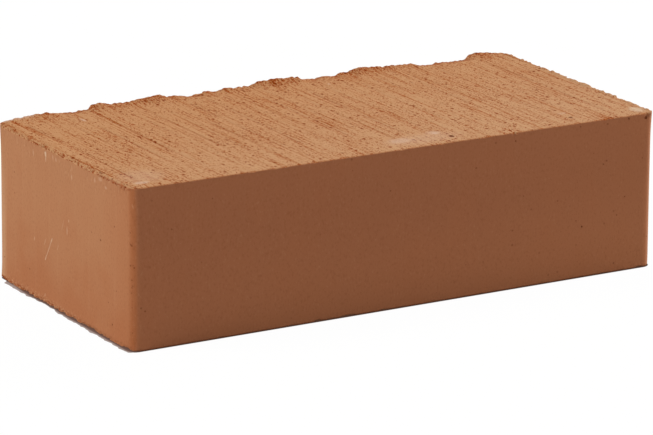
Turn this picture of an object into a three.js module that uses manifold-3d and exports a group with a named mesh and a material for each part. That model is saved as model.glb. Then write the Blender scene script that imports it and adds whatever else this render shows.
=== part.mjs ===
// Solid clay brick of the wire-cut kind, in millimetres with +Z up.
//
// A column of stiff clay rises through a die, which moulds the four upright faces and rounds the four
// upright corners. Taut wires then part the brick from the column at both beds. They travel along +Y:
// grit dragged along by the wire leaves straight grooves, and the back arris tears as the wire leaves.
// The origin is the centre of the lower bed. X runs along the length and Y across the width.

import * as THREE from "three";
import Module from "manifold-3d";

const wasm = await Module();
wasm.setup();
const { Manifold, Mesh } = wasm;

// Fired size, from moulded face to moulded face and from bed to bed
const brickLength = 248;
const brickWidth = 118;
const brickHeight = 67;

// Die: rounding of the upright corners
const cornerRadius = 3.5;
const cornerSteps = 5;

// Near each cut the clay spreads a little past the moulded faces
const upperSpread = 0.45;
const lowerSpread = 0.25;
const spreadHeight = 18;
const spreadSteps = 4;

// Worn arris round each bed
const arrisBreak = 0.45;

// Torn arris at the back: its level over the bed at places from the low end in X. It goes straight from
// one to the next, and the places stretch with the length of the brick.
const tearProfile = [
  [0, -1.1], [5, -0.2], [14, 0.5], [22, 0.9], [29, -0.3], [36, -0.8], [38, 0.1], [40, -0.5], [43, 0.2],
  [44, 1.6], [48, 1.8], [51, 1], [60, 0.5], [68, 1.4], [76, 2.1], [80, 0.5], [86, 0], [92, -0.5],
  [98, 0.6], [102, -0.3], [108, 0.9], [120, 0.2], [124, 1.8], [132, 2], [144, 1.4], [146, 0], [152, -0.6],
  [156, 0], [162, -0.4], [165, 0.5], [169, 0.2], [172, 1.6], [179, 1.6], [188, 0.7], [202, 0.3],
  [205, -1.1], [212, -1.7], [214, -0.9], [226, -1.7], [229, -1.4], [231, 1], [236, 1.1], [248, -0.4],
];
const tearReach = 8; // how far in from the back arris the cut runs out of plane
const tearRows = 4;
const tearStep = 1.6; // spacing of the points along the torn arris
const tearCrumble = 0.25; // most that a point of the torn arris strays from its profile

// Drag grooves, V-shaped and tapered out at both ends, with the bed left flat between them
const groovePitch = 7.5;
const grooveWidth = 1.5;
const grooveDepth = 0.5;
const grooveTaper = 14;

// Chips out of the arrises: longest reach along and into the clay, and spacing on each kind of arris
const chipLength = 3;
const chipDepth = 1.2;
const headerChipPitch = 11;
const stretcherChipPitch = 42;

const cutMargin = 3; // how far a cut runs past the clay on every side

const clay = new THREE.MeshStandardMaterial({ color: 0xc08a60, roughness: 0.92, metalness: 0 });

// Repeatable random numbers between two limits
function seededRandom(seed) {
  let state = seed;
  return (low, high) => {
    state = (Math.imul(state, 1664525) + 1013904223) >>> 0;
    return low + ((high - low) * state) / 4294967296;
  };
}

// Skins a row of loops that all have the same number of points. Seen from the last loop's end they
// run anticlockwise. Flatten gives a loop's two coordinates in its own plane, to close both ends.
function loft(loops, flatten) {
  const count = loops[0].length;
  const points = loops.flat();
  const faces = [];
  for (let k = 1; k < loops.length; k++) {
    for (let n = 0; n < count; n++) {
      const [a, b] = [(k - 1) * count + n, (k - 1) * count + ((n + 1) % count)];
      faces.push(a, b, b + count, a, b + count, a + count);
    }
  }
  const closeEnd = (loop, first, turned) => {
    for (const face of THREE.ShapeUtils.triangulateShape(loop.map(flatten), [])) {
      faces.push(...(turned ? face.reverse() : face).map((n) => first + n));
    }
  };
  closeEnd(loops[0], 0, true);
  closeEnd(loops[loops.length - 1], points.length - count, false);
  return new Manifold(
    new Mesh({
      numProp: 3,
      vertProperties: new Float32Array(points.flatMap((p) => [p.x, p.y, p.z])),
      triVerts: new Uint32Array(faces),
    }),
  );
}

// The die's opening at one height, grown outwards or drawn in on every side
function dieSection(grow, z) {
  const radius = cornerRadius + grow;
  const loop = [];
  for (const [quarter, sx, sy] of [[0, 1, 1], [1, -1, 1], [2, -1, -1], [3, 1, -1]]) {
    for (let n = 0; n <= cornerSteps; n++) {
      const angle = (quarter + n / cornerSteps) * (Math.PI / 2);
      const x = sx * (brickLength / 2 - cornerRadius) + radius * Math.cos(angle);
      const y = sy * (brickWidth / 2 - cornerRadius) + radius * Math.sin(angle);
      loop.push(new THREE.Vector3(x, y, z));
    }
  }
  return loop;
}

// The piece of the clay column from below one cut to above the other
function clayColumn() {
  const reach = Math.min(spreadHeight, brickHeight * 0.45);
  const rise = Math.max(0, ...tearProfile.map(([, level]) => level)) + tearCrumble + cutMargin;
  const levels = [{ grow: -arrisBreak, z: 0 }];
  for (let n = spreadSteps; n >= 0; n--) {
    const share = n / spreadSteps;
    levels.push({ grow: lowerSpread * share ** 2, z: reach + (arrisBreak - reach) * share });
  }
  for (let n = 0; n <= spreadSteps; n++) {
    const share = n / spreadSteps;
    levels.push({ grow: upperSpread * share ** 2, z: brickHeight - reach + (reach - arrisBreak) * share });
  }
  levels.push({ grow: -arrisBreak, z: brickHeight }, { grow: -arrisBreak, z: brickHeight + rise });
  return loft(
    levels.map(({ grow, z }) => dieSection(grow, z)),
    (p) => new THREE.Vector2(p.x, p.y),
  );
}

// Level of the torn arris above the bed at a place along X
function tornLevel(x) {
  const along = THREE.MathUtils.clamp(x / brickLength + 0.5, 0, 1) * tearProfile.at(-1)[0];
  const next = Math.max(1, tearProfile.findIndex(([place]) => place >= along));
  const [[from, low], [to, high]] = tearProfile.slice(next - 1, next + 1);
  return THREE.MathUtils.mapLinear(along, from, to, low, high);
}

// The clay beyond a cut at z = 0. Its underside is the wire's path: flat, then torn near the back.
// A bed that the brick lies on has no lip standing out of it, only clay torn off.
function clayBeyondCut({ lips, seed }) {
  const random = seededRandom(seed);
  const back = brickWidth / 2;
  const edge = back + cutMargin;
  const depths = Array.from({ length: tearRows + 1 }, (_, n) => tearReach * (1 - n / tearRows));
  const stations = Math.round((brickLength + 2 * cutMargin) / tearStep);
  const sections = Array.from({ length: stations + 1 }, (_, n) => {
    const x = (n / stations - 0.5) * (brickLength + 2 * cutMargin);
    const level = tornLevel(x) + random(-tearCrumble, tearCrumble);
    const torn = lips ? level : Math.min(0, level);
    const path = depths.map((depth) => [back - depth, torn * (1 - depth / tearReach) ** 2]);
    const top = [[edge, brickHeight / 2], [-edge, brickHeight / 2], [-edge, 0]];
    return [...path, [edge, torn], ...top].map(([y, z]) => new THREE.Vector3(x, y, z));
  });
  return loft(sections, (p) => new THREE.Vector2(p.y, p.z));
}

// Tapered V-shaped gouges in a cut at z = 0, one for each pitch of the length. They end where the cut
// starts to run out of plane, so that none goes under a lip.
function dragGrooves({ seed }) {
  const random = seededRandom(seed);
  const usable = brickLength - 2 * cornerRadius - 2 * grooveWidth;
  const count = Math.floor(usable / groovePitch);
  return Array.from({ length: count }, (_, n) => {
    const x = ((n + 0.5 + random(-0.3, 0.3)) / count - 0.5) * usable;
    const half = (grooveWidth / 2) * random(0.5, 1);
    const depth = grooveDepth * random(0.35, 1);
    const start = brickWidth * random(-0.5, -0.15);
    const end = Math.min(brickWidth * random(0.3, 0.5), brickWidth / 2 - tearReach);
    const [from, to] = [start + grooveTaper / 2, end - grooveTaper / 2];
    return Manifold.hull([
      [x, start, depth / 2],
      [x, end, depth / 2],
      [x - half * 1.5, from, depth / 2],
      [x + half * 1.5, from, depth / 2],
      [x - half * 1.5, to, depth / 2],
      [x + half * 1.5, to, depth / 2],
      [x, from, -depth],
      [x, to, -depth],
    ]);
  });
}

// Chips along the four arrises of a cut at z = 0
function arrisChips({ seed }) {
  const random = seededRandom(seed);
  const along = (length, pitch) => {
    const count = Math.floor((length - 2 * cornerRadius) / pitch);
    return Array.from({ length: count }, () => random(-0.5, 0.5) * (length - 4 * cornerRadius));
  };
  const places = [
    ...along(brickWidth, headerChipPitch).map((y) => [-brickLength / 2, y, 90]),
    ...along(brickWidth, headerChipPitch).map((y) => [brickLength / 2, y, 90]),
    ...along(brickLength, stretcherChipPitch).map((x) => [x, -brickWidth / 2, 0]),
  ];
  return places.map(([x, y, turn]) => {
    const depth = chipDepth * random(0.5, 1);
    return Manifold.sphere(1, 8)
      .rotate([random(0, 90), random(0, 90), 0])
      .scale([(chipLength / 2) * random(0.4, 1), depth, depth])
      .rotate([0, 0, turn])
      .translate([x, y, 0]);
  });
}

// Everything that one wire takes off the brick, at z = 0 with the brick below it
function wireCut({ lips, seed }) {
  return Manifold.union([
    clayBeyondCut({ lips, seed }),
    ...dragGrooves({ seed: seed + 1 }),
    ...arrisChips({ seed: seed + 2 }),
  ]);
}

function toGeometry(solid) {
  const mesh = solid.simplify(0.01).getMesh();
  const geometry = new THREE.BufferGeometry();
  geometry.setAttribute("position", new THREE.BufferAttribute(mesh.vertProperties, 3));
  geometry.setIndex(new THREE.BufferAttribute(mesh.triVerts, 1));
  geometry.computeVertexNormals();
  return geometry;
}

const upperCut = wireCut({ lips: true, seed: 40 }).translate([0, 0, brickHeight]);
const lowerCut = wireCut({ lips: false, seed: 70 }).rotate([0, 180, 0]); // the back stays at +Y

const brick = new THREE.Mesh(toGeometry(clayColumn().subtract(upperCut).subtract(lowerCut)), clay);
brick.name = "clay_brick";

const group = new THREE.Group();
group.add(brick);

export default group;
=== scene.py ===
# A solid wire-cut clay brick lying on its lower bed, on a plain white floor.
# Sizes are in millimetres unless a note says otherwise, and Blender gets metres.

import math
from types import SimpleNamespace

import bpy
import numpy as np
from mathutils import Matrix, Vector


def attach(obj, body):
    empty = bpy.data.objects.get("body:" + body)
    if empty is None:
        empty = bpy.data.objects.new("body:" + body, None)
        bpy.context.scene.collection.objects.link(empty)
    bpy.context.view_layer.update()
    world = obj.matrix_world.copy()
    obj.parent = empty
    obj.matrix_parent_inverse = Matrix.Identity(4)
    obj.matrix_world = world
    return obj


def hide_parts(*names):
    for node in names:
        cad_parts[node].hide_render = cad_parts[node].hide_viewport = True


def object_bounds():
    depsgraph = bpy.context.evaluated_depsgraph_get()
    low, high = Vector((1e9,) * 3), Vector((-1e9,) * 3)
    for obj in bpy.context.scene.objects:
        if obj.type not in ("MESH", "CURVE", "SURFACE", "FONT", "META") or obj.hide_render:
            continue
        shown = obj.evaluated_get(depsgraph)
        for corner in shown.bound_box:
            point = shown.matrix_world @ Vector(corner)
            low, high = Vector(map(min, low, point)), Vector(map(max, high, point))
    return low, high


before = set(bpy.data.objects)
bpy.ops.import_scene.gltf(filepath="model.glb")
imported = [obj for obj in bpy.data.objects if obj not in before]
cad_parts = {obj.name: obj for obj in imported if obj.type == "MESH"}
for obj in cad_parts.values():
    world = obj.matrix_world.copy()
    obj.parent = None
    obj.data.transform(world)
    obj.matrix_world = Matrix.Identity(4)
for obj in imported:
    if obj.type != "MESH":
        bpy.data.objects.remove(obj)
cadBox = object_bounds()
mm = 0.001


def clayColour(hexColour):
    # sRGB hex to the linear values that Blender's sockets take
    parts = [int(hexColour[n:n + 2], 16) / 255 for n in (0, 2, 4)]
    return tuple(c / 12.92 if c <= 0.04045 else ((c + 0.055) / 1.055) ** 2.4 for c in parts) + (1.0,)


cameraView = {
    "place": (-919.2, -1536.6, 543.2),  # from the middle of the lower bed
    "yaw": 30.885,  # degrees, from looking along +Y towards +X
    "pitch": 16.193,  # degrees below level
    "roll": 0.617,
    "lens": 245.5,
    "sensorWidth": 36,
    "farClip": 20,  # metres
}


def addCamera(view):
    yaw, pitch, roll = (math.radians(view[key]) for key in ("yaw", "pitch", "roll"))
    ahead = Vector((math.sin(yaw) * math.cos(pitch), math.cos(yaw) * math.cos(pitch), -math.sin(pitch)))
    right = Vector((math.cos(yaw), -math.sin(yaw), 0))
    up = right.cross(ahead)
    rightRolled = math.cos(roll) * right + math.sin(roll) * up
    upRolled = math.cos(roll) * up - math.sin(roll) * right
    data = bpy.data.cameras.new("brickCamera")
    data.lens, data.sensor_width, data.clip_end = view["lens"], view["sensorWidth"], view["farClip"]
    camera = bpy.data.objects.new("brickCamera", data)
    turn = Matrix((rightRolled, upRolled, -ahead)).transposed().to_4x4()
    camera.matrix_world = Matrix.Translation(Vector(view["place"]) * mm) @ turn
    bpy.context.collection.objects.link(camera)
    bpy.context.scene.camera = camera


addCamera(cameraView)
print("camera placed")

brickShape = {
    "length": 248,
    "width": 118,
    "height": 67,
    "cornerRadii": {"frontLeft": 4.3, "frontRight": 3.5, "back": 4.7},
    "arrisRadius": 0.35,
    # how far the clay stands out past the moulded faces at each cut, and how far up or down that reaches
    "upperSpread": 0.45,
    "upperReach": 18,
    "lowerSpread": 0.4,
    "lowerReach": 10,
    "rightLean": {"most": 0.45, "start": 60},  # the right end leans out at its foot, from the start in X on
    "faceWave": {"height": 0.08, "along": 34, "up": 50, "full": 4},  # full this far below the upper bed
    "rimFade": 1.2,  # how fast the relief of the cut dies out down the faces
    "mesh": {
        "cornerSteps": 8,
        "columns": 360,  # even steps between the corners, along X
        "frontRows": 6,  # fine rows along Y at the front arris
        "middleRows": 136,
        "backRows": 22,  # fine rows at the torn arris
        "fineStep": 0.5,
        "upperRings": (0.1, 0.35, 0.8, 1.4, 2.2, 3.4, 5.5, 9, 14, 22),  # below the upper bed
        "lowerRings": (36, 27, 19, 12, 7, 4, 2.3, 1.3, 0.7, 0.3, 0.08),  # above the lower bed
    },
    # torn arris along the back: places from the left end and levels above the bed
    "torn": {
        "profile": (
            (0, -1.1), (5, -0.2), (14, 0.5), (22, 0.9), (29, -0.3), (36, -0.8), (38, 0.1), (40, -0.5),
            (43, 0.2), (44, 1.6), (48, 1.8), (51, 1), (60, 0.5), (68, 1.4), (76, 2.1), (80, 0.5), (86, 0),
            (92, -0.5), (98, 0.6), (102, -0.3), (108, 0.9), (120, 0.2), (124, 1.8), (132, 2), (144, 1.4),
            (146, 0), (152, -0.6), (156, 0), (162, -0.4), (165, 0.5), (169, 0.2), (172, 1.6), (179, 1.6),
            (188, 0.7), (202, 0.3), (205, -1.1), (212, -1.7), (214, -0.9), (226, -1.7), (229, -1.4), (231, 1),
            (236, 1.1), (248, -0.4),
        ),
        "reach": (5, 12),  # how far in from the arris the cut runs out of plane, at least and at most
        "reachWave": 19,
        "crumble": ((0.3, (1.3, 1.6, 1)), (0.21, (3.4, 3, 1))),  # layers of noise: height, size in X, Y, Z
        "flatShare": 0.35,  # how torn it looks where it stands level, and what each millimetre up adds
        "upShare": 0.5,
    },
    # V-shaped drag grooves: each draws its shares of the pitch, width and depth, and of the brick's width
    "grooves": {
        "pitch": 7.5,
        "span": 238,
        "width": 1.5,
        "depth": 0.5,
        "taper": 7,
        "strayShare": (-0.3, 0.3),
        "widthShare": (0.5, 1),
        "depthShare": (0.35, 1),
        "startShare": (-0.5, -0.15),
        "endShare": (0.3, 0.5),
        "wander": {"width": 0.25, "length": 23},
        "fading": {"share": 0.3, "length": 6},
    },
    # finer relief of the cut, its layers told as those of the crumble
    "relief": {
        "streaks": 0.018,
        "streakLayers": ((0.55, (0.75, 16, 1)), (0.7, (2.1, 40, 1)), (0.6, (6, 60, 1))),
        "drift": {"width": 0.5, "along": 40, "across": 45},  # how the drag lines stray from straight ones
        "entryBend": {"most": 2.2, "reach": 16, "full": 60},  # and bend at the front arris, full past X = 60
        "grain": 0.02,
        "grainSize": (1.1, 1.7),
        "backGrain": 0.3,
        "backGrainReach": 11,
        "deepest": 2,  # cavities count up to this depth
        "rimWidth": 1.5,  # how close to the other arrises the relief falls off, and the share that is left
        "rimLeast": 0.25,
        "burrs": {"layers": ((0.6, (2, 1.5, 1)), (0.4, (6, 5, 1))), "middle": 0.3, "most": 0.9, "width": 1.5},
    },
    # small loss all along the arrises, and the share of it on each side of the brick
    "crumble": {
        "most": 0.75,
        "reach": 1.8,
        "layers": ((1, (1.1, 1.1, 1.1)), (0.7, (3.1, 3.1, 3.1))),
        "spared": 0.05,  # noise below this takes nothing away
        "left": 1,
        "right": 0.15,
        "front": 0.3,
        "back": 0.8,
        "foot": 1.3,
        "footBelow": 32,
        "drawnIn": 0.7,  # share of the loss that goes inwards, and the same away from the bed
    },
    # chips out of the arrises: spacing, reach along and into the clay, and the share of it on some arrises
    "chips": {
        "upperPitch": {"header": 1.7, "front": 12},
        "lowerPitch": {"header": 3.5, "front": 7},
        "length": (0.5, 2.0),
        "lengthShares": (0.7, 0.3),  # the second goes with the chip's share: shallow ones are shorter
        "depth": (0.3, 1.1),
        "lowerShare": 0.8,
        "rightShare": 0.5,
        "stretcherShare": 0.55,
        "clear": {"header": 3, "stretcher": 4},  # kept clear of the corners
        "deepest": (  # x, y, z and the three reaches of single chips
            (-124, -49.8, 66.2, 1, 0.7, 2.2), (-124, -52.4, 66, 0.9, 0.6, 1.8),
            (-124, 15.5, 66.8, 1.5, 1.7, 1.3), (-124, 30.5, 66.9, 1.2, 2.4, 1),
            (-124, 44, 66.9, 1.3, 2.6, 1.1), (120.6, -59, 66.4, 1, 0.6, 1.2),
            (54.7, -59, 66.8, 1.4, 0.7, 0.8), (-25, -59, 0.2, 4.5, 0.7, 0.5), (-8, -59, 0.1, 2.4, 0.6, 0.45),
            (-39, -59, 0.3, 1.4, 0.7, 0.6), (118.7, -59, 0.3, 1.6, 0.8, 0.6), (-124, 56, 0, 0.9, 5, 0.7),
        ),
    },
    "seeds": {"upperBed": 40, "lowerBed": 70, "faces": 91, "crumble": 17, "chips": 29},
}


class GritDice:
    # repeatable numbers between two limits, in the order the solid's own grooves were drawn in
    def __init__(self, seed):
        self.state = seed

    def between(self, low, high):
        self.state = (self.state * 1664525 + 1013904223) % 4294967296
        return low + (high - low) * self.state / 4294967296


def smoothRise(t):
    t = np.clip(t, 0, 1)
    return t * t * (3 - 2 * t)


def softNoise(x, y, z, seed):
    # smooth value noise from -1 to 1, one lattice cell for each unit; beds and lines take one slice of it
    cellCount = 64
    table = np.random.default_rng(seed).uniform(-1, 1, (cellCount,) * 3)
    cells, shares = [], []
    for along in (x, y, z):
        whole = np.floor(along)
        cells.append(whole.astype(int) % cellCount)
        shares.append(smoothRise(along - whole))
    total = np.zeros(np.broadcast(x, y, z).shape)
    for corner in range(8):
        weight, index = 1.0, []
        for axis in range(3):
            far = corner >> axis & 1
            weight = weight * (shares[axis] if far else 1 - shares[axis])
            index.append((cells[axis] + far) % cellCount)
        total = total + weight * table[tuple(index)]
    return total


def layeredNoise(x, y, z, layers, seed):
    # each layer has a share, a size along X, Y and Z, and a seed of its own
    total = 0
    for n, (share, (sizeX, sizeY, sizeZ)) in enumerate(layers):
        total = total + share * softNoise(x / sizeX, y / sizeY, z / sizeZ, seed + n)
    return total


def cornerRadiusAt(x, y, shape):
    radii = shape["cornerRadii"]
    return np.where(y > 0, radii["back"], np.where(x > 0, radii["frontRight"], radii["frontLeft"]))


def halfWidthAt(x, side, shape):
    radius = cornerRadiusAt(x, side, shape)
    inCorner = np.clip(np.abs(x) - (shape["length"] / 2 - radius), 0, radius)
    return shape["width"] / 2 - radius + np.sqrt(radius ** 2 - inCorner ** 2)


def makeStations(shape):
    # places along X: cosine steps round the corners, even steps between them
    half, radius = shape["length"] / 2, shape["cornerRadii"]["back"]
    angles = np.linspace(0, math.pi / 2, shape["mesh"]["cornerSteps"] + 1)
    arc = half - radius + radius * np.cos(angles)
    middle = np.linspace(-half + radius, half - radius, shape["mesh"]["columns"] + 1)
    return np.concatenate([-arc[:-1], middle, arc[::-1][1:]])


def makeRows(shape):
    # places along Y as shares of the half width, from the front arris to the back one
    mesh = shape["mesh"]
    half, step = shape["width"] / 2, mesh["fineStep"]
    front = -half + step * np.arange(mesh["frontRows"])
    back = half - step * np.arange(mesh["backRows"] + 1)[::-1]
    middle = np.linspace(front[-1] + step, back[0], mesh["middleRows"] + 1)[:-1]
    return np.concatenate([front, middle, back]) / half


def tornLevel(x, shape):
    places, levels = np.array(shape["torn"]["profile"], float).T
    return np.interp(x + shape["length"] / 2, places, levels)


def grooveLevel(x, y, shape, seed):
    # depth of the drag grooves, with places and sizes drawn as the solid draws them
    grooves, dice = shape["grooves"], GritDice(seed)
    count = int(grooves["span"] // grooves["pitch"])
    wander, fading = grooves["wander"], grooves["fading"]
    level = np.zeros_like(x)
    for n in range(count):
        middle = ((n + 0.5 + dice.between(*grooves["strayShare"])) / count - 0.5) * grooves["span"]
        half = grooves["width"] / 2 * dice.between(*grooves["widthShare"])
        depth = grooves["depth"] * dice.between(*grooves["depthShare"])
        start = shape["width"] * dice.between(*grooves["startShare"])
        end = shape["width"] * dice.between(*grooves["endShare"])
        # each groove takes its own line of the noise
        line = middle + wander["width"] * softNoise(y / wander["length"], n * 3.7, 0.5, seed)
        across = np.clip(1 - np.abs(x - line) / half, 0, 1)
        along = np.clip(np.minimum(y - start, end - y) / grooves["taper"], 0, 1)
        fade = 1 - fading["share"] + fading["share"] * softNoise(y / fading["length"], n * 5.3, 1.5, seed)
        level = np.minimum(level, -depth * smoothRise(across) * along * fade)
    return level


def bedLevel(x, y, shape, lips, seed):
    # height of a cut bed over its own plane, and how torn it is
    torn, relief = shape["torn"], shape["relief"]
    half, back = shape["length"] / 2, shape["width"] / 2
    shallow, deep = torn["reach"]
    reach = shallow + (deep - shallow) * (0.5 + 0.5 * softNoise(x / torn["reachWave"], 0.5, 0.5, seed + 4))
    near = np.clip(1 - (back - y) / reach, 0, 1)
    edge = tornLevel(x, shape) + layeredNoise(x, y, 0.3, torn["crumble"], seed + 5)
    if not lips:
        edge = np.minimum(edge, 0)
    entry, drift = relief["entryBend"], relief["drift"]
    bend = np.clip(1 - (y + back) / entry["reach"], 0, 1) ** 2 * np.clip(x / entry["full"], 0, 1)
    across = x + bend * entry["most"]
    across = across + drift["width"] * softNoise(x / drift["along"], y / drift["across"], 0.5, seed + 7)
    streaks = layeredNoise(across, y, 0.5, relief["streakLayers"], seed + 8)
    grainX, grainY = relief["grainSize"]
    grain = softNoise(x / grainX, y / grainY, 0.5, seed + 11)
    rough = relief["grain"] + relief["backGrain"] * smoothRise(1 - (back - y) / relief["backGrainReach"])
    level = edge * near ** 2 + relief["streaks"] * streaks + rough * grain
    level += grooveLevel(across, y, shape, seed + 1)
    rim = np.minimum(half - np.abs(x), y + back) / relief["rimWidth"]
    level = np.where(near > 0, level, level * np.clip(rim, relief["rimLeast"], 1))
    if lips:  # burrs along the right header
        burrs = relief["burrs"]
        burr = burrs["middle"] + layeredNoise(x, y, 0.5, burrs["layers"], seed + 12)
        burr = np.clip(burr, 0, burrs["most"])
        level += burr * smoothRise((x - half + burrs["width"]) / burrs["width"])
    else:
        level = np.minimum(level, 0)
    return level, near * np.clip(torn["flatShare"] + edge * torn["upShare"], 0, 1)


def spreadAt(z, shape):
    fromTop = np.clip(1 - (shape["height"] - z) / shape["upperReach"], 0, 1)
    fromFoot = np.clip(1 - z / shape["lowerReach"], 0, 1)
    return shape["upperSpread"] * fromTop ** 2 + shape["lowerSpread"] * fromFoot ** 2


def outlineOf(columns, rows):
    # grid places round a bed, anticlockwise from above, starting at the front left
    outline = [(i, 0) for i in range(columns)]
    outline += [(columns - 1, j) for j in range(1, rows)]
    outline += [(i, rows - 1) for i in range(columns - 2, -1, -1)]
    return outline + [(0, j) for j in range(rows - 2, 0, -1)]


def outwardAt(x, y, shape):
    # level direction straight out of the moulded faces
    radius = cornerRadiusAt(x, y, shape)
    cornerX, cornerY = shape["length"] / 2 - radius, shape["width"] / 2 - radius
    dx, dy = x - np.clip(x, -cornerX, cornerX), y - np.clip(y, -cornerY, cornerY)
    size = np.maximum(np.hypot(dx, dy), 1e-9)
    return dx / size, dy / size


def placeChips(shape, dice):
    # middle and reaches of every chip: first all the places are drawn, then the sizes
    chips, clear = shape["chips"], shape["chips"]["clear"]
    half, side = shape["length"] / 2, shape["width"] / 2
    places = []
    for top in (True, False):
        z, pitch = (shape["height"], chips["upperPitch"]) if top else (0, chips["lowerPitch"])
        for sign in (-1, 1):
            for _ in range(int(2 * side / pitch["header"])):
                y = dice.uniform(-side + clear["header"], side - clear["header"])
                share = (1 if top else chips["lowerShare"]) * (1 if sign < 0 else chips["rightShare"])
                places.append((sign * half, y, z, "y", share))
        for _ in range(int(2 * half / pitch["front"])):
            x = dice.uniform(-half + clear["stretcher"], half - clear["stretcher"])
            places.append((x, -side, z, "x", chips["stretcherShare"]))
    bites, (plain, shared) = [], chips["lengthShares"]
    for x, y, z, axis, share in places:
        long = dice.uniform(*chips["length"]) * (plain + shared * share)
        deep = dice.uniform(*chips["depth"]) * share
        bites.append((x, y, z, long, deep, deep) if axis == "x" else (x, y, z, deep, long, deep))
    return bites + list(chips["deepest"])


def chipArris(points, shape):
    # bites an ellipsoid out of the arris for each chip, pushing the surface inwards and away from the bed
    half, middle = shape["length"] / 2, shape["height"] / 2
    for x, y, z, *radii in placeChips(shape, np.random.default_rng(shape["seeds"]["chips"])):
        radii = np.array(radii)
        onHeader = abs(x) > half - 1  # within a millimetre of it
        inward = [-np.sign(x) * onHeader, -np.sign(y) * (not onHeader), -1 if z > middle else 1]
        inward = np.array(inward, float) / np.linalg.norm(inward)
        offset = (points - np.array([x, y, z])) / radii
        inside = np.nonzero((offset ** 2).sum(1) < 1)[0]
        q, way = offset[inside], inward / radii
        a, b, c = (way ** 2).sum(), (q * way).sum(1), (q ** 2).sum(1) - 1
        points[inside] += ((-b + np.sqrt(b * b - a * c)) / a)[:, None] * inward
    return points


def crumbleArris(points, shape):
    # small loss all along the arrises, most on the left header and least on the right one
    crumble = shape["crumble"]
    x, y, z = points.T
    sideX, sideY = shape["length"] / 2 - np.abs(x), shape["width"] / 2 - np.abs(y)
    toBed = np.minimum(np.abs(shape["height"] - z), np.abs(z))
    near = np.clip(1 - np.hypot(toBed, np.minimum(sideX, sideY)) / crumble["reach"], 0, 1)
    header = sideX < sideY
    onHeader = np.where(x < 0, crumble["left"], crumble["right"])
    onStretcher = np.where(y < 0, crumble["front"], crumble["back"])
    share = near * crumble["most"] * np.where(header, onHeader, onStretcher)
    share = share * np.where(z > crumble["footBelow"], 1, crumble["foot"])
    noise = layeredNoise(x, y, z, crumble["layers"], shape["seeds"]["crumble"])
    loss = np.clip(noise - crumble["spared"], 0, 1) * share
    outX, outY = outwardAt(x, y, shape)
    points[:, 0] -= loss * outX * crumble["drawnIn"]
    points[:, 1] -= loss * outY * crumble["drawnIn"]
    points[:, 2] -= loss * crumble["drawnIn"] * np.sign(z - crumble["footBelow"])
    return points, near * np.where(header, 1, onStretcher)


def makeBrick(shape):
    # upper bed, rings down the moulded faces, lower bed: halved in each direction below the upper rings
    mesh, seeds = shape["mesh"], shape["seeds"]
    x, share = makeStations(shape), makeRows(shape)
    gridX = np.repeat(x[:, None], len(share), 1)
    front, back = (halfWidthAt(x, side, shape)[:, None] for side in (-1, 1))
    gridY = np.where(share > 0, back, front) * share
    inset = shape["arrisRadius"]
    drawX, drawY = 1 - 2 * inset / shape["length"], 1 - 2 * inset / shape["width"]
    upper, upperTorn = bedLevel(gridX, gridY, shape, True, seeds["upperBed"])
    footX, footY = gridX[::2, ::2], gridY[::2, ::2]
    lower, lowerTorn = bedLevel(-footX, footY, shape, False, seeds["lowerBed"])
    points, faces = [], []
    marks = {"fromCut": [], "cavity": [], "torn": []}

    def addPoints(px, py, pz, away, depth, tornNear):
        first = sum(len(p) for p in points)
        points.append(np.stack([np.broadcast_to(p, px.shape).ravel() for p in (px, py, pz)], 1))
        marks["fromCut"].append(np.full(px.size, float(away)))
        marks["cavity"].append(np.clip(-depth, 0, shape["relief"]["deepest"]).ravel())
        marks["torn"].append(tornNear.ravel())
        return first + np.arange(px.size).reshape(px.shape)

    def addGrid(grid, turned):
        quad = [grid[:-1, :-1], grid[1:, :-1], grid[1:, 1:], grid[:-1, 1:]]
        faces.append(np.stack(quad[::-1] if turned else quad, -1).reshape(-1, 4))
        outline = np.array(outlineOf(*grid.shape))
        return grid[outline[:, 0], outline[:, 1]], outline

    def joinRings(above, below):
        faces.append(np.stack([below, np.roll(below, -1), np.roll(above, -1), above], -1))

    bed = addPoints(gridX * drawX, gridY * drawY, shape["height"] + upper, 0, upper, upperTorn)
    ring, outline = addGrid(bed, False)
    ringX, ringY = gridX[outline[:, 0], outline[:, 1]], gridY[outline[:, 0], outline[:, 1]]
    outX, outY = outwardAt(ringX, ringY, shape)
    rim = upper[outline[:, 0], outline[:, 1]]

    def addRing(keep, z, fromBed):
        px, py = ringX[keep], ringY[keep]
        rounding = inset * (1 - math.sqrt(1 - (1 - fromBed / inset) ** 2)) if fromBed < inset else 0
        lean = shape["rightLean"]["most"] * (1 - z / shape["height"])
        lean = lean * smoothRise(px / shape["rightLean"]["start"] - 1)
        wave = shape["faceWave"]
        bulge = softNoise(px / wave["along"], py / wave["along"], z / wave["up"], seeds["faces"])
        bulge = wave["height"] * bulge * min(1, fromBed / wave["full"])
        grow = np.maximum(spreadAt(z, shape), lean) - rounding + bulge
        px, py = px + outX[keep] * grow, py + outY[keep] * grow
        return addPoints(px, py, z, fromBed, np.zeros(px.size), np.zeros(px.size))

    every, second = np.arange(len(ring)), np.arange(0, len(ring), 2)
    for drop in mesh["upperRings"]:
        below = addRing(every, shape["height"] - drop + rim * math.exp(-drop / shape["rimFade"]), drop)
        joinRings(ring, below)
        ring = below
    for rise in mesh["lowerRings"]:
        below = addRing(second, np.full(len(second), float(rise)), rise)
        if len(ring) > len(below):  # three triangles for each two steps of the finer ring
            start, middle, end = ring[::2], ring[1::2], np.roll(ring[::2], -1)
            after = np.roll(below, -1)
            faces.extend(np.stack(three, -1) for three in (
                (below, middle, start), (below, after, middle), (after, end, middle)))
        else:
            joinRings(ring, below)
        ring = below
    foot = addPoints(footX * drawX, footY * drawY, -lower, 0, lower, lowerTorn)
    joinRings(ring, addGrid(foot, True)[0])
    return np.concatenate(points), faces, {name: np.concatenate(parts) for name, parts in marks.items()}


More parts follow.
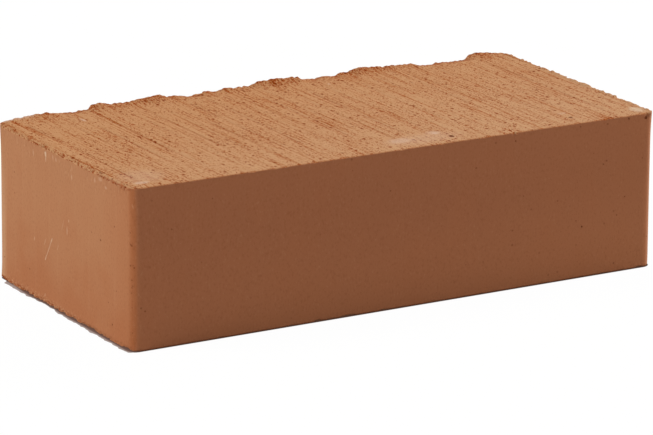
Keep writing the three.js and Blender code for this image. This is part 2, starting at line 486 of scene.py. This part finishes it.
def buildMesh(name, points, faces, attributes):
    mesh = bpy.data.meshes.new(name)
    mesh.from_pydata((points * mm).tolist(), [], [tuple(face) for part in faces for face in part.tolist()])
    for key, values in attributes.items():
        mesh.attributes.new(key, "FLOAT", "POINT").data.foreach_set("value", values.astype(np.float32))
    mesh.shade_smooth()
    piece = bpy.data.objects.new(name, mesh)
    bpy.context.collection.objects.link(piece)
    return piece


points, faces, marks = makeBrick(brickShape)
whole = points.copy()
points, marks["arrisNear"] = crumbleArris(points, brickShape)
points = chipArris(points, brickShape)
points = np.clip(points, np.array(cadBox[0]) / mm, np.array(cadBox[1]) / mm)
marks["chipped"] = np.linalg.norm(points - whole, axis=1)
brick = buildMesh("brickBody", points, faces, marks)
print("brick shaped:", len(points), "points")


class Signal:
    # a shader socket that Python arithmetic can be done on
    def __init__(self, shop, socket):
        self.shop, self.socket = shop, socket
        self.many = socket.type in ("VECTOR", "RGBA")

    def join(self, operation, first, second):
        many = any(isinstance(v, tuple) or getattr(v, "many", False) for v in (first, second))
        kind = "ShaderNodeVectorMath" if many else "ShaderNodeMath"
        values = [(v, v, v) if many and isinstance(v, (int, float)) else v for v in (first, second)]
        return self.shop.node(kind, {"operation": operation}, {0: values[0], 1: values[1]})

    def __add__(self, other):
        return self.join("ADD", self, other)

    def __radd__(self, other):
        return self.join("ADD", other, self)

    def __sub__(self, other):
        return self.join("SUBTRACT", self, other)

    def __rsub__(self, other):
        return self.join("SUBTRACT", other, self)

    def __mul__(self, other):
        return self.join("MULTIPLY", self, other)

    def __rmul__(self, other):
        return self.join("MULTIPLY", other, self)

    def __abs__(self):
        kind = "ShaderNodeVectorMath" if self.many else "ShaderNodeMath"
        return self.shop.node(kind, {"operation": "ABSOLUTE"}, {0: self})


class ShaderShop:
    # makes the nodes of a material or world and joins them up
    def __init__(self, owner):
        owner.use_nodes = True
        self.tree = owner.node_tree
        self.tree.nodes.clear()

    def node(self, kind, settings=None, values=None, output=0):
        made = self.tree.nodes.new(kind)
        for key, setting in (settings or {}).items():
            setattr(made, key, setting)
        for key, value in (values or {}).items():
            socket = made.inputs[key]
            if isinstance(value, Signal):
                self.tree.links.new(value.socket, socket)
            else:
                socket.default_value = value
        return Signal(self, made.outputs[output]) if len(made.outputs) else None

    def others(self, signal, *keys):
        # further outputs of the node that a signal comes from
        return [Signal(self, signal.socket.node.outputs[key]) for key in keys]

    def parts(self, signal):
        return self.others(self.node("ShaderNodeSeparateXYZ", {}, {0: signal}), 0, 1, 2)

    def millimetres(self):
        # object coordinates in millimetres, together and each of the three on its own
        place = self.node("ShaderNodeTexCoord", {}, {}, "Object") * (1 / mm, 1 / mm, 1 / mm)
        return place, *self.parts(place)

    def attribute(self, name):
        return self.node("ShaderNodeAttribute", {"attribute_name": name}, {}, "Fac")

    def blend(self, share, base, over):
        return self.node("ShaderNodeMix", {"data_type": "RGBA"}, {0: share, 6: base, 7: over}, 2)

    def between(self, signal, low, high, smooth=True):
        # 0 at low, 1 at high, also where low is the larger
        settings = {"interpolation_type": "SMOOTHSTEP" if smooth else "LINEAR"}
        ends = {1: low, 2: high, 3: 0, 4: 1} if low < high else {1: high, 2: low, 3: 1, 4: 0}
        return self.node("ShaderNodeMapRange", settings, {0: signal, **ends})

    def noise(self, place, size, detail=2, roughness=0.5):
        # noise over features of the given size in millimetres along each axis, from 0 to 1
        values = {"Vector": place * tuple(1 / s for s in size), "Scale": 1, "Detail": detail}
        return self.node("ShaderNodeTexNoise", {}, {**values, "Roughness": roughness})

    def grains(self, place, size):
        # distance to the nearest grain, and a random number for that grain
        values = {"Vector": place * tuple(1 / s for s in size), "Scale": 1}
        near = self.node("ShaderNodeTexVoronoi", {}, values)
        return near, self.parts(*self.others(near, "Color"))[0]

    def spot(self, place, middle, reach, ragged, tilt=0):
        # 1 at the middle of an ellipsoid in millimetres and 0 outside it; ragged is how far its edge strays
        shares = tuple(1 / r for r in reach)
        if tilt:
            values = {"Vector": place - middle, "Angle": math.radians(tilt)}
            inside = self.node("ShaderNodeVectorRotate", {"rotation_type": "X_AXIS"}, values) * shares
        else:
            values = {0: place, 1: shares, 2: tuple(-m * s for m, s in zip(middle, shares))}
            inside = self.node("ShaderNodeVectorMath", {"operation": "MULTIPLY_ADD"}, values)
        rim, full = 1, 0.35
        return self.between(self.length(inside) + ragged, rim, full)

    def length(self, vector):
        return self.node("ShaderNodeVectorMath", {"operation": "LENGTH"}, {0: vector}, "Value")

    def seen(self):
        # 1 where the camera looks, straight or by way of gloss or glass
        straight = self.node("ShaderNodeLightPath")
        gloss, glass = self.others(straight, "Is Glossy Ray", "Is Transmission Ray")
        return self.node("ShaderNodeClamp", {}, {0: straight + gloss + glass})


firedClay = {
    "colours": {
        "cutBed": "C7976D",
        "cutDeep": "A2520C",
        "paling": "CCA27C",
        "speck": "943A00",
        "pit": "62280B",
        "bedPit": "7A2C00",
        "header": "BA845F",
        # the stretchers are darker and redder than the headers: partly their own tint, partly painted shade
        # of the faces turned away from the key lamp
        "stretcher": "A66C4C",
        # lighter stretcher colour: painted light towards the foot and over the right half
        "stretcherPaintedLight": "B67955",
        "low": "B06F4A",
        # darker, redder colour for the rounded upright corners: painted shade where the face turns
        "corner": "AA6138",
        "pale": "D7B8A2",
        "dust": "DBB58F",
        "chalk": "E4CFB4",
        "footUnderShade": "97501F",
    },
    "roughness": {"skin": 0.74, "cut": 0.92, "grain": 0.16},
    "ior": 1.45,
    "specular": 0.05,
    "bumpDistance": 0.0006,  # metres
    # height of each mark in the bump, or its depth
    "bump": {
        "streak": 0.03, "cutGrain": 0.02, "fine": 0.02, "lines": 0.03, "cords": 0.05, "big": 0.06,
        "specks": 0.05, "skinGrain": 0.05, "pit": 0.3, "hole": 0.4, "crumbs": 0.3,
    },
    # size of the features along X, Y and Z, detail and roughness
    "noises": {
        "crumb": ((1, 1.3, 0.8), 2, 0.6),
        "streak": ((0.8, 16, 8), 2),
        "broad": ((4.5, 22, 20), 2),
        "patch": ((26, 34, 30), 3),
        "mottle": ((0.6, 1.2, 0.6), 2, 0.6),
        "grit": ((0.55, 1.1, 0.7), 1),
        "dash": ((0.7, 2.6, 0.9), 1),
        "line": ((0.9, 60, 9), 1),
        "cord": ((0.6, 45, 9), 0),
        "coarse": ((1.3, 2.2, 1.6), 2),
        "cloud": ((16, 16, 22), 3),
        "die": ((2.2, 2.2, 45), 2),
        "dust": ((0.8, 0.8, 1.3), 2, 0.6),
        "tick": ((1.1, 1.1, 3.4), 1),
        "grain": ((0.35, 0.5, 0.35), 3, 0.6),
    },
    "speckSize": (2.4, 3.8, 2.8),
    "pitSize": (4.6, 4.6, 4.6),
    # zones of the surface: where each sets in and where it is full, along the axes named (side is how far out
    # in Y on either side), and its strength where it has one
    "zones": {
        "wrap": ({"x": (-121.5, -123.4), "y": (-34, -24), "z": (30, 40)},),
        "back": ({"y": (42, 58)}, 0.03),
        "frontArris": ({"y": (-57.9, -58.8)}, 0.3),
        "offLeftArris": ({"x": (-123.8, -121.2)},),
        "leftEnd": ({"x": (-40, -110)}, 0.04),
        "backCorner": ({"x": (-108, -116), "y": (48, 53)}, 0.8),
        "stretcher": ({"side": (58, 59)},),
        "corner": ({"side": (55, 57.4)},),
        "headerFront": ({"y": (-28, -58)}, 0.45),
        "dustBand": ({"z": (66, 26)},),
        "leftHalf": ({"x": (60, -60)},),
        "rightHalf": ({"x": (0, 124)}, 0.2),
        "offLeftEnd": ({"x": (-124, -50)},),
        "low": ({"z": (50, -15)},),
        "tickBand": ({"z": (52, 64)},),
        "rightCornerHighlight": ({"x": (120.8, 122.8), "y": (-55.5, -57.5)}, 0.18),
        "footShadeLine": ({"z": (0.6, 0.25)},),
        "foot": ({"z": (4, 1.5)},),
        "behind": ({"y": (-35, 15)},),
        "upper": ({"z": (20, 40), "y": (-57.5, -54)},),
        "lower": ({"z": (40, 20)},),
    },
    # marks: where each sets in and where it is full, in its own noise or measure, and its strength
    "marks": {
        "fine": (0.608, 0.648, 0.74),
        "fineHalo": (0.57, 0.63, 0.16),
        "drawn": (0.62, 0.69, 0.3),
        "big": (0.685, 0.71, 0.85),
        "bigHalo": (0.63, 0.69, 0.2),
        "specks": (0, 0.06, 0.95),
        "speckHalo": (-0.16, 0, 0.3),
        "lines": (0.59, 0.67, 0.26),
        "cords": (0.68, 0.75, 0.42),
        "patch": (0.45, 0.75, 0.1),
        "mottle": (0.5, 0.36, 0.1),
        "streak": (0.44, 0.3, 0.12),
        "torn": (0.1, 0.9, 0.15),
        "cavityShade": (0.06, 0.35, 0.45),
        "reddening": (46, -8, 0.6),
        "cloud": (0.4, 0.7, 0.12),
        "die": (0.55, 0.75, 0.04),
        "tick": (0.66, 0.74, 0.3),
        "darkDust": (0.48, 0.3, 0.14),
        "paleDust": (0.6, 0.75, 0.1),
        "innerStrip": (49.2, 50.8, 0.14),
        "outerStrip": (51.8, 53.8, 0.24),
        "pit": (0.1, 0.05, 0.75),
        "pitPick": (0.6, 0.85),
        "footCrumbs": (0.47, 0.38, 0.35),
        "crumbs": (0.52, 0.58, 0.9),
        "broken": (0.4, 0.9, 0.45),
        "hole": (0.1, 0.6, 0.9),
    },
    # how much each noise, and the torn clay, gathers the specks, and how much these kinds follow it
    "gather": {"broad": 0.12, "streak": -0.2, "line": 0.16, "torn": 0.08},
    "follow": {"big": 0.6, "specks": 0.3},
    # how much the grains differ in size
    "picks": {"specks": 0.25, "speckHalo": 0.24, "pit": 0.3},
    # how far the edges of marks and spots stray with the noise
    "stray": {
        "specks": 0.1, "lines": 0.12, "cords": 0.3, "torn": 0.8, "reddening": 110, "strips": 4, "spot": 0.9,
    },
    "paling": {"slant": 0.3, "ends": (-50, 75)},  # across the bed from its back left to its front right
    "cutEdge": {"wrapDepth": 1.25, "ends": (0.2, 0)},  # millimetres from the cut
    "shares": {"corner": 0.5, "lowAtLeft": 0.3, "footShadeLine": 0.6},
    "stretcherLess": {"die": 0.03, "pit": 0.35},  # what the stretchers lose of two marks' strength
    # crumbs just off the cut, in millimetres from it, their share low down and what is added to it behind
    "crumbBand": {
        "upper": (0.3, 0.8), "lower": (2, 1.5), "arris": (0.1, 0.3),
        "lowShare": 0.2, "lowBehind": 0.5, "breakLeast": 0.3,
    },
    # a dashed drag line just in from the left arris of the bed: its two sides in X, and how far it strays
    "seam": {
        "inner": (-120.8, -121.6), "outer": (-123, -122.2), "dashes": (0.42, 0.56),
        "stray": 4, "strength": 0.25,
    },
    # single spots: middle, half size along X, Y and Z, tilt about X in degrees, and strength; pale rubs,
    # chalky scratches, painted shade under the rounded foot, and dark breaks in the left upper arris with
    # their shade painted in
    "spots": {
        "pale": (
            ((6.2, -47.4, 67), (7, 4.6, 3), 0, 0.5), ((25, -42.8, 67), (4.2, 3.8, 3), 0, 0.45),
            ((25.2, -43.6, 67), (1.9, 2.2, 3), 0, 0.6), ((-116.4, -52.2, 67), (4.6, 2.4, 3), 0, 0.65),
            ((16, -49, 67), (24, 9, 3), 0, 0.22), ((-112, -44, 67), (13, 12, 3), 0, 0.2),
            ((88.4, -42.5, 67), (3, 1.4, 3), 0, 0.4), ((28, 46.2, 67), (0.7, 1.1, 3), 0, 0.9),
            ((-92, 43.6, 67), (1.1, 3.4, 3), 0, 0.6), ((-114, 58.6, 66.2), (15, 3, 2.4), 0, 0.6),
        ),
        "chalk": (
            ((119.6, -51.8, 67), (4, 5.8, 3), 0, 0.6), ((-124, 13, 23.8), (2, 0.36, 8.6), -31, 0.36),
            ((-124, 15.7, 19.4), (2, 0.4, 1.6), -20, 0.5), ((-124, 10.6, 28), (2, 0.4, 2), -31, 0.4),
            ((-124, 16.2, 26.2), (2, 0.5, 2.6), -31, 0.16), ((-124, -4.7, 40.3), (2, 0.5, 0.9), 0, 0.3),
            ((-124, -3.2, 35.6), (2, 0.5, 2.6), 0, 0.35), ((-124, 0.5, 37.3), (2, 0.25, 4.2), -24, 0.2),
            ((-124, 5, 26.5), (2, 0.3, 2.2), -24, 0.2), ((-124, 14.7, 63.7), (2, 1.1, 1.5), 0, 0.6),
            ((-124, 14.8, 62), (2, 0.5, 2.2), 0, 0.4), ((-124, 8.3, 63.8), (2, 0.6, 1.3), 0, 0.2),
            ((-124, 5.6, 63.4), (2, 0.8, 1.2), 0, 0.22), ((-124, -7.7, 59.4), (2, 0.6, 1.9), 0, 0.28),
            ((-124, -27.8, 63), (2, 0.8, 1.4), 0, 0.24), ((-124, -32.6, 64.6), (2, 2.2, 1.2), 0, 0.2),
            ((-124, -37.1, 62.2), (2, 1.3, 0.9), 0, 0.25), ((-124, 25.7, 61.6), (2, 0.6, 2), 0, 0.22),
            ((-124, 16.3, 3.4), (2, 0.5, 1), -20, 0.35), ((-124, 25.7, 25), (2, 0.5, 1.2), -8, 0.3),
        ),
        # dark orange-brown smudges at the foot of the left header: painted shade on the rounded underside of
        # the foot
        "footUnderShade": (
            ((-124, 54.5, 0.4), (4, 5.5, 2), 0, 0.9), ((-124, 36.5, 0.2), (2, 2.4, 1.1), 0, 0.7),
            ((-124, 31, 0.2), (2, 1.4, 1.1), 0, 0.5),
        ),
        # dark breaks in the left upper arris: painted shade in small breaks
        "pit": (
            ((-124, -45.6, 66.1), (2, 0.45, 1.3), 60, 0.8), ((-124, -50.5, 66.6), (2, 0.4, 1.3), 80, 0.6),
            ((-124, -52.1, 66), (2, 0.55, 1), 45, 0.9), ((-124, -31.3, 66.9), (2, 0.4, 2.4), 88, 0.6),
            ((-124, -36.5, 66.5), (2, 0.6, 0.9), 60, 0.7), ((-124, -40.9, 66.7), (2, 0.5, 0.7), 60, 0.6),
        ),
    },
    # single dark holes, their shade painted in over a shallow bump: middle, radius and strength
    "holes": (
        ((28.7, -51, 67), 1.3, 1.1), ((88.1, -49.6, 67), 1, 1), ((11.1, -59, 66.1), 0.5, 0.6),
        ((19.2, -59, 65.8), 0.5, 0.7), ((54.7, -59, 63.5), 0.6, 0.8), ((110.9, -59, 65.9), 0.8, 0.8),
        ((119.6, -59, 65.2), 1, 0.9), ((98.9, -59, 47.6), 0.5, 0.55), ((110, -59, 32.2), 0.5, 0.65),
        ((106.1, -59, 24.7), 0.5, 0.6), ((88.7, -59, 22), 0.55, 0.8), ((99.1, -59, 11.3), 0.45, 0.5),
        ((118.5, -59, 47.8), 0.45, 0.4), ((93.8, -59, 53), 0.45, 0.35), ((76.3, -59, 34.8), 0.5, 0.4),
        ((85.7, -59, 24.9), 0.45, 0.35), ((122, -59, 13), 0.45, 0.35), ((-118.4, -59, 16.2), 0.5, 0.5),
        ((-124, -32.1, 39.3), 0.55, 0.7), ((-124, -42, 6.8), 0.55, 0.8), ((-124, 30.2, 10.8), 0.5, 0.5),
        ((-124, -38.7, 15.1), 0.45, 0.5), ((-124, -45.4, 21.6), 0.45, 0.4), ((-124, 52.9, 10), 0.5, 0.6),
        ((-124, -24.5, 40.6), 0.45, 0.35), ((-124, -43.9, 47.9), 0.5, 0.5), ((-124, 43.4, 49), 0.5, 0.5),
        ((-124, 43.2, 40.1), 0.45, 0.4), ((-123.6, -56.4, 48.6), 0.45, 0.35),
        ((-123.6, -56.5, 43.7), 0.5, 0.45), ((-123.3, -57, 43.3), 0.5, 0.5),
        ((-123.6, -56.5, 35.1), 0.5, 0.6), ((-123, -57.5, 35.2), 0.4, 0.35),
        ((-122.6, -57.8, 34.4), 0.5, 0.5), ((-123.3, -57, 29.2), 0.45, 0.4),
        ((-123.1, -57.3, 26.7), 0.45, 0.35), ((-123.3, -57, 26), 0.45, 0.4),
        ((-123.4, -56.9, 23.8), 0.45, 0.3), ((-123.3, -57.1, 17.8), 0.4, 0.3),
        ((-123.2, -57.2, 7.4), 0.45, 0.35),
    ),
    "holeStretch": 1.4,  # of holes in the bed, along the wire's travel
}


class ClayShop(ShaderShop):
    # a shader shop with the clay's own noises, zones, marks and colours at hand
    def __init__(self, material, clay):
        super().__init__(material)
        self.clay = clay
        self.place, self.x, self.y, self.z = self.millimetres()
        noises = {name: self.noise(self.place, *told) for name, told in clay["noises"].items()}
        self.noises = SimpleNamespace(**noises)
        self.axes = {"x": self.x, "y": self.y, "z": self.z, "side": abs(self.y)}
        self.zones = {name: self.zone(*told) for name, told in clay["zones"].items()}
        self.colours = {name: clayColour(value) for name, value in clay["colours"].items()}

    def zone(self, limits, strength=None):
        # 1 inside and 0 outside, times its strength
        first, *rest = [self.between(self.axes[axis], *ends) for axis, ends in limits.items()]
        inside = math.prod(rest, start=first)
        return inside * strength if strength else inside

    def mark(self, name, signal):
        return self.between(signal, *self.clay["marks"][name][:2])

    def strength(self, name):
        return self.clay["marks"][name][2]

    def weighed(self, name, signal):
        return self.mark(name, signal) * self.strength(name)

    def tint(self, share, base, colour):
        return self.blend(share, base, self.colours[colour])


def mixCutBed(shop):
    # colour and bump of the cut bed: ochre, drawn out along the wire's travel, peppered with dark specks
    clay, noise, zone, mark, weighed = shop.clay, shop.noises, shop.zones, shop.mark, shop.weighed
    torn, cavity = shop.attribute("torn"), shop.attribute("cavity")
    pull, follow, picks, stray = clay["gather"], clay["follow"], clay["picks"], clay["stray"]
    uneven, broad = noise.mottle - 0.5, noise.broad - 0.5
    gather = broad * pull["broad"] + (noise.streak - 0.5) * pull["streak"] + (noise.line - 0.5) * pull["line"]
    gather = gather + torn * pull["torn"] + zone["back"]
    coarse = noise.coarse + gather * follow["big"]
    fine = mark("fine", noise.grit + gather)
    big = mark("big", coarse)
    nearSpeck, pickSpeck = shop.grains(shop.place, clay["speckSize"])
    specks = pickSpeck * picks["specks"] + gather * follow["specks"] - nearSpeck
    specks = mark("specks", specks + uneven * stray["specks"])
    lines = mark("lines", noise.line + uneven * stray["lines"])
    cords = noise.cord + uneven * stray["cords"] + broad * stray["cords"]
    cords = mark("cords", cords) * zone["offLeftArris"]
    seam = clay["seam"]
    seamAt = shop.x + broad * seam["stray"]
    seamLine = shop.between(seamAt, *seam["inner"]) * shop.between(seamAt, *seam["outer"])
    seamLine = seamLine * shop.between(noise.dash, *seam["dashes"])

    # from the plain clay at 0 to the deep colour at 1
    speckHalo = pickSpeck * picks["speckHalo"] + gather * follow["specks"] - nearSpeck
    haloes = weighed("fineHalo", noise.grit + gather) + weighed("speckHalo", speckHalo)
    haloes = haloes + weighed("bigHalo", coarse) + seamLine * seam["strength"]
    tone = weighed("patch", noise.patch) + weighed("mottle", noise.mottle) + haloes
    tone = tone + weighed("streak", noise.streak) + lines * shop.strength("lines")
    tone = tone + cords * shop.strength("cords") + weighed("drawn", noise.dash + gather)
    tone = tone + weighed("torn", torn + uneven * stray["torn"]) + zone["frontArris"] - zone["leftEnd"]
    # the bed grows paler towards its front right
    paling = clay["paling"]
    frontward = shop.between(shop.x * paling["slant"] - shop.y, *paling["ends"], False)
    bed = shop.tint(frontward, shop.colours["cutBed"], "paling")
    bed = shop.tint(shop.between(tone, 0, 1, False), bed, "cutDeep")
    # hollows of the cut darkened by their depth: painted shade in the grooves and dips
    bed = shop.tint(mark("cavityShade", cavity) * (1 - zone["backCorner"]) * shop.strength("cavityShade"), bed, "speck")
    bed = shop.tint(fine * shop.strength("fine"), bed, "speck")
    bed = shop.tint(specks * shop.strength("specks"), bed, "bedPit")
    bed = shop.tint(big * shop.strength("big"), bed, "bedPit")

    bump = clay["bump"]
    height = noise.streak * bump["streak"] + noise.grain * bump["cutGrain"] - fine * bump["fine"]
    height = height - lines * bump["lines"] - cords * bump["cords"]
    return bed, height - big * bump["big"] - specks * bump["specks"]


def mixMouldedFaces(shop):
    # colour and bump of the moulded faces: smooth, headers a little redder towards the foot, ticks of slurry
    # below the upper arris, and light and shade painted in on the stretchers and the rounded upright corners
    clay, noise, zone, mark, weighed = shop.clay, shop.noises, shop.zones, shop.mark, shop.weighed
    stray, shares, less = clay["stray"], clay["shares"], clay["stretcherLess"]
    stretcher = zone["stretcher"]
    header = 1 - stretcher
    reddening = weighed("reddening", shop.z + (noise.cloud - 0.5) * stray["reddening"])
    skin = shop.tint(reddening, shop.colours["header"], "low")
    skin = shop.tint(zone["headerFront"], skin, "low")
    fromBack = shop.y + (noise.die - 0.5) * stray["strips"]
    strips = weighed("innerStrip", fromBack) + weighed("outerStrip", fromBack)
    skin = shop.tint(strips * zone["dustBand"], skin, "dust")
    # a darker, redder band painted on the rounded upright corners of the left half: painted shade where the
    # header turns towards the stretcher
    skin = shop.tint(zone["corner"] * header * zone["leftHalf"] * shares["corner"], skin, "corner")
    # the stretchers are painted lighter towards the foot (less at the left end) and a little over the right
    # half: painted light that evens out the floor's shade and copies a sheen at the right end
    paintedLight = zone["low"] * (shares["lowAtLeft"] + (1 - shares["lowAtLeft"]) * zone["offLeftEnd"])
    paintedLight = paintedLight + zone["rightHalf"]
    skin = shop.blend(stretcher, skin, shop.tint(paintedLight, shop.colours["stretcher"], "stretcherPaintedLight"))
    skin = shop.tint(weighed("cloud", noise.cloud), skin, "low")
    skin = shop.tint(mark("die", noise.die) * (shop.strength("die") - less["die"] * stretcher), skin, "dust")
    ticks = mark("tick", noise.tick) * zone["tickBand"] * header
    skin = shop.tint(ticks * shop.strength("tick"), skin, "dust")
    skin = shop.tint(weighed("darkDust", noise.dust), skin, "pit")
    skin = shop.tint(weighed("paleDust", noise.dust), skin, "dust")
    # small pits over the moulded faces: a shallow bump with the shade inside painted dark
    nearPit, pickPit = shop.grains(shop.place, clay["pitSize"])
    largest = clay["marks"]["pitPick"][1]
    pit = mark("pit", nearPit + (pickPit - largest) * clay["picks"]["pit"]) * mark("pitPick", pickPit)
    skin = shop.tint(pit * (shop.strength("pit") - less["pit"] * stretcher), skin, "pit")
    # a pale tint painted down the right front corner: painted highlight along the rim there
    skin = shop.tint(zone["rightCornerHighlight"], skin, "pale")
    # a dark line painted along the foot of the stretchers: painted shade under the lower arris
    skin = shop.tint(stretcher * zone["footShadeLine"] * shares["footShadeLine"], skin, "pit")
    footCrumbs = zone["behind"] * header * zone["foot"] * mark("footCrumbs", noise.crumb)
    skin = shop.tint(footCrumbs * shop.strength("footCrumbs"), skin, "dust")
    return skin, noise.grain * clay["bump"]["skinGrain"] - pit * clay["bump"]["pit"]


def makeFiredClay(clay, bedLevel):
    material = bpy.data.materials.new("firedClay")
    shop = ClayShop(material, clay)
    noise, zone, place = shop.noises, shop.zones, shop.place
    fromCut, arrisNear, chipped = (shop.attribute(name) for name in ("fromCut", "arrisNear", "chipped"))

    # behind its first third the cut runs a millimetre down over the upper arris of the left header
    wrap, edge = zone["wrap"], clay["cutEdge"]
    cut = shop.between(fromCut - wrap * edge["wrapDepth"] + (noise.crumb - 0.5) * wrap, *edge["ends"])
    bed, bedHeight = mixCutBed(shop)
    skin, skinHeight = mixMouldedFaces(shop)
    colour = shop.blend(cut, skin, bed)
    ragged = (noise.mottle - 0.5) * clay["stray"]["spot"]
    for over, spots in clay["spots"].items():
        for middle, reach, tilt, strength in spots:
            colour = shop.tint(shop.spot(place, middle, reach, ragged, tilt) * strength, colour, over)

    # crumbs and breaks just off the cut, weaker near the foot and weakest at its front, with the shade in
    # them painted dark
    band = clay["crumbBand"]
    crumbs = shop.mark("crumbs", noise.crumb) * shop.between(fromCut, *band["upper"])
    crumbs = crumbs * shop.between(fromCut, *band["lower"]) * shop.between(arrisNear, *band["arris"])
    aloft = zone["upper"] + zone["lower"] * (band["lowShare"] + band["lowBehind"] * zone["behind"])
    colour = shop.tint(crumbs * aloft * shop.strength("crumbs"), colour, "speck")
    broken = shop.weighed("broken", chipped * (noise.crumb + band["breakLeast"]))
    colour = shop.tint(broken * aloft, colour, "speck")
    # dark colour painted into the holes: painted shade inside them, beside a shallow bump
    hole = 0
    for middle, radius, strength in clay["holes"]:
        longer = radius * (clay["holeStretch"] if middle[2] == bedLevel else 1)
        hole = shop.mark("hole", shop.spot(place, middle, (radius, longer, radius), ragged)) * strength + hole
    colour = shop.tint(hole * shop.strength("hole"), colour, "pit")

    bump, rough = clay["bump"], clay["roughness"]
    height = cut * bedHeight + (1 - cut) * skinHeight - hole * bump["hole"] - crumbs * bump["crumbs"]
    roughness = cut * (rough["cut"] - rough["skin"]) + (noise.grain - 0.5) * rough["grain"] + rough["skin"]
    shader = shop.node("ShaderNodeBsdfPrincipled", {}, {
        "Base Color": colour,
        "Roughness": roughness,
        "IOR": clay["ior"],
        "Specular IOR Level": clay["specular"],
        "Normal": shop.node("ShaderNodeBump", {}, {"Distance": clay["bumpDistance"], "Height": height}),
    })
    shop.node("ShaderNodeOutputMaterial", {}, {"Surface": shader})
    return material


brick.data.materials.append(makeFiredClay(firedClay, brickShape["height"]))
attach(brick, "root")
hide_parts("clay_brick")
print("fired clay mixed")

studio = {
    "floorSize": 8,  # metres, as the lamps' places and sizes
    "floorLevel": -0.0001,
    "floorColour": "E9E9E9",
    "floorWhite": 0.97,  # share of the floor that is plain white to the camera, beside its shading
    "floorGlow": 1.01,
    # shade at the foot: a thin line all round, and a ragged band along the left header with a gap in it
    "contact": {
        "half": (124.1, 59.1),
        "radius": 4,
        "line": "4E3428",
        "lineWidth": 0.9,
        "softEdge": 0.3,
        "band": ("6C5046", "A28F88"),  # close to the foot and further out
        "bandEnds": (0.3, 1.6),  # from the first of its colours to the second
        "bandWidth": 1.2,
        "bandInset": (4, 1.5),  # it starts this far inside the left header and is full that far outside
        "ragged": 3,
        "raggedShare": 0.3,  # of the change from colour to colour
        "raggedSize": (6, 6, 6),
        "gapEnds": ((28, 22), (2, 7)),  # in Y
        "backEnd": (52, 49),
        "palerFrom": (30, 48),
    },
    "skyLevel": 0.27,
    # place, size, power in watts and colour
    "lamps": {
        "keyLamp": ((-3.6, 1.25, 3.45), 1.8, 156, "FFF8F0"),
        "fillLamp": ((-0.2, -3.3, 2.7), 2.4, 20, "FFEFE2"),
        "rimLamp": ((3.2, 0.2, 1.0), 1.0, 95, "FFF1E4"),
    },
}
white = (1, 1, 1, 1)


def mixContactShade(shop, contact):
    # white floor, shaded over the first millimetres all round the brick
    place, x, y, _ = shop.millimetres()
    (halfX, halfY), radius = contact["half"], contact["radius"]
    out = abs(place) - (halfX - radius, halfY - radius, 1)
    out = shop.node("ShaderNodeVectorMath", {"operation": "MAXIMUM"}, {0: out, 1: (0, 0, 0)})
    away = shop.length(out) - radius
    inside, outside = contact["bandInset"]
    header = shop.between(x, inside - halfX, -halfX - outside)
    gap = shop.between(y, *contact["gapEnds"][0]) * shop.between(y, *contact["gapEnds"][1])
    ragged = (shop.noise(place, contact["raggedSize"]) - 0.5) * contact["ragged"] - gap
    width = header * (contact["bandWidth"] + ragged) + contact["lineWidth"]
    near, far = (clayColour(colour) for colour in contact["band"])
    outward = away - ragged * contact["raggedShare"] + shop.between(y, *contact["palerFrom"])
    shade = shop.blend(shop.between(outward, *contact["bandEnds"]), near, far)
    shade = shop.blend(header, clayColour(contact["line"]), shade)
    width = width * shop.between(y, *contact["backEnd"])
    return shop.blend(shop.between(away - width, -contact["softEdge"], 0), shade, white)


def addStage(stage):
    size, level = stage["floorSize"], stage["floorLevel"]
    mesh = bpy.data.meshes.new("studioFloor")
    corners = [(-size, -size), (size, -size), (size, size), (-size, size)]
    mesh.from_pydata([(cx, cy, level) for cx, cy in corners], [], [(0, 1, 2, 3)])
    floor = bpy.data.objects.new("studioFloor", mesh)
    bpy.context.collection.objects.link(floor)
    whiteFloor = bpy.data.materials.new("whiteFloor")
    shop = ShaderShop(whiteFloor)
    matt = shop.node("ShaderNodeBsdfDiffuse", {}, {"Color": clayColour(stage["floorColour"])})
    contact = mixContactShade(shop, stage["contact"])
    glow = shop.node("ShaderNodeEmission", {}, {"Color": contact, "Strength": stage["floorGlow"]})
    lit = shop.node("ShaderNodeMixShader", {}, {0: shop.seen() * stage["floorWhite"], 1: matt, 2: glow})
    shop.node("ShaderNodeOutputMaterial", {}, {"Surface": lit})
    mesh.materials.append(whiteFloor)

    world = bpy.data.worlds.new("studioSky")
    bpy.context.scene.world = world
    shop = ShaderShop(world)
    skyLight = stage["skyLevel"] + (1 - stage["skyLevel"]) * shop.seen()
    sky = shop.node("ShaderNodeBackground", {}, {"Color": white, "Strength": skyLight})
    shop.node("ShaderNodeOutputWorld", {}, {"Surface": sky})

    for name, (place, size, power, colour) in stage["lamps"].items():
        data = bpy.data.lights.new(name, "AREA")
        data.size, data.energy, data.color = size, power, clayColour(colour)[:3]
        lamp = bpy.data.objects.new(name, data)
        lamp.location = place
        lamp.rotation_euler = (-Vector(place)).to_track_quat("-Z", "Y").to_euler()
        bpy.context.collection.objects.link(lamp)


addStage(studio)
bpy.context.scene.view_settings.view_transform = "Standard"
print("studio lit")
